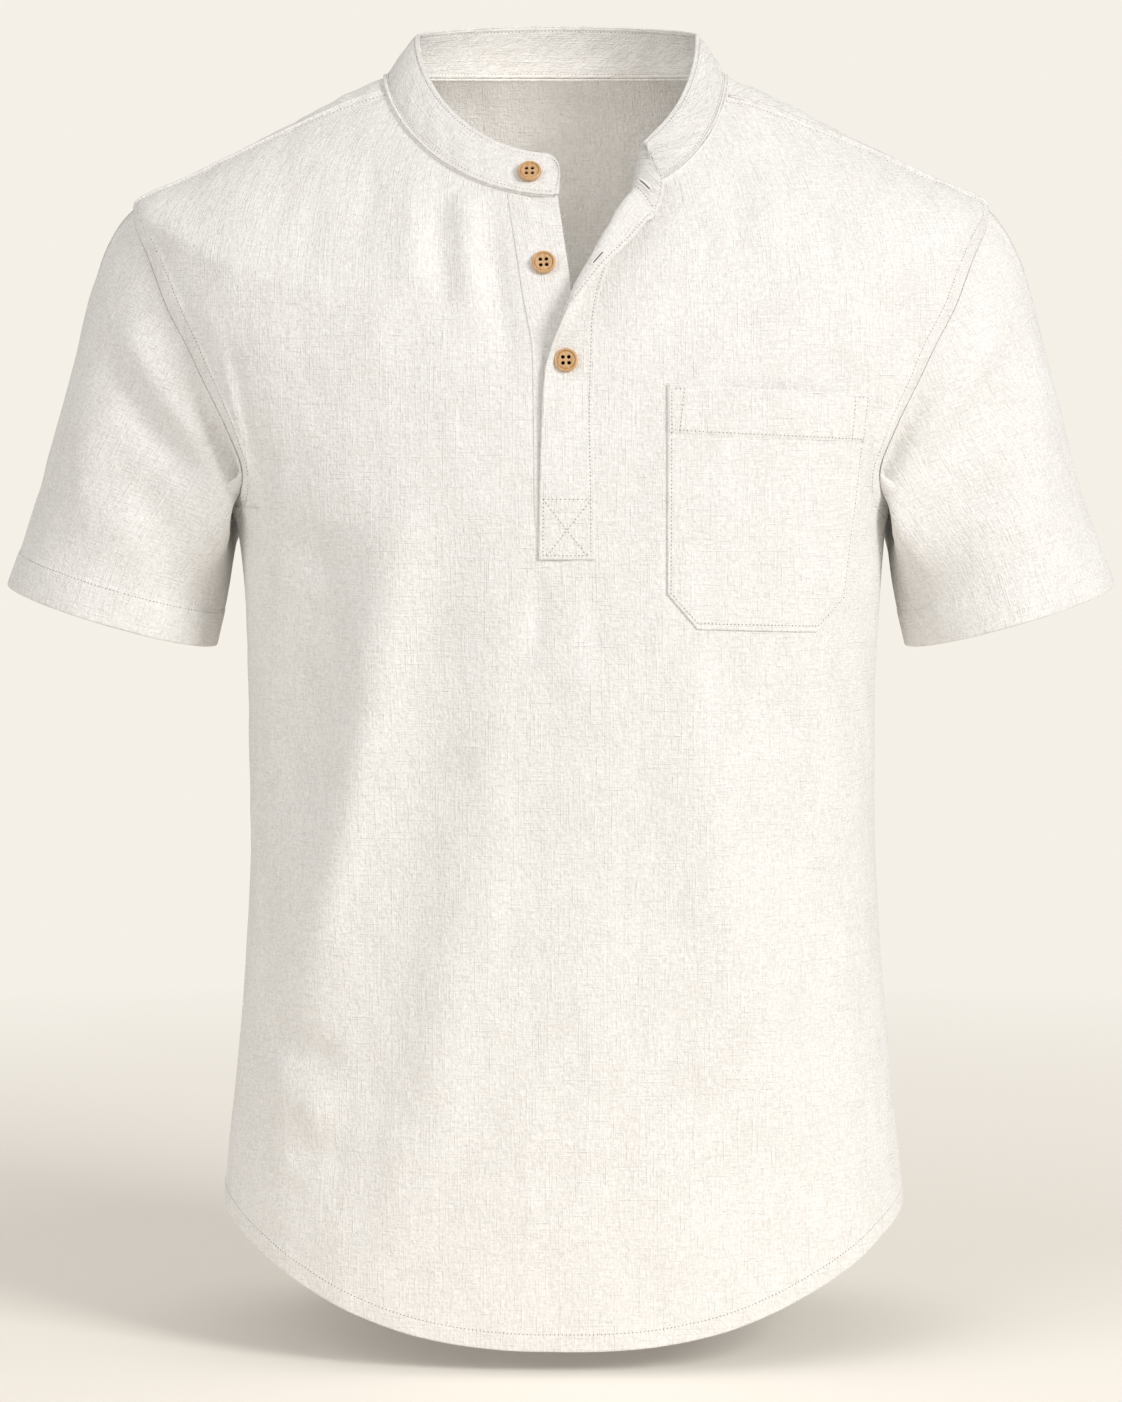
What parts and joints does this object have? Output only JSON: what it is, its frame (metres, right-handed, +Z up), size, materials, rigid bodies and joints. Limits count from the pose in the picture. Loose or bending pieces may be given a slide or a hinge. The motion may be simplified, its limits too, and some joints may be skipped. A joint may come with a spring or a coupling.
{
  "type": "henley shirt",
  "caption": "Short-sleeved henley shirt in its worn form, with a band collar, a half-open button placket, a chest pocket and a curved hem.",
  "frame": {"origin": "the middle of the neck, level with the points where the shoulders meet it, which is where the wearer's neck and shoulders hold the shirt up", "axes": "+Z up, -Y is the way the wearer faces, +X is the wearer's left"},
  "size_m": [0.6168, 0.2592, 0.7278],
  "materials": {
    "linen": "off-white slub linen and cotton plain weave, crinkled and matt",
    "button_wood": "turned tan wood with a satin oil finish"
  },
  "bodies": {
    "root": {"front": "linen", "back": "linen", "sleeve_left": "linen", "sleeve_right": "linen", "placket_under": "linen", "placket_over": "linen", "collar_outer": "linen", "collar_inner": "linen", "pocket": "linen", "button_collar": "button_wood", "button_middle": "button_wood", "button_lower": "button_wood"}
  },
  "joints": []
}
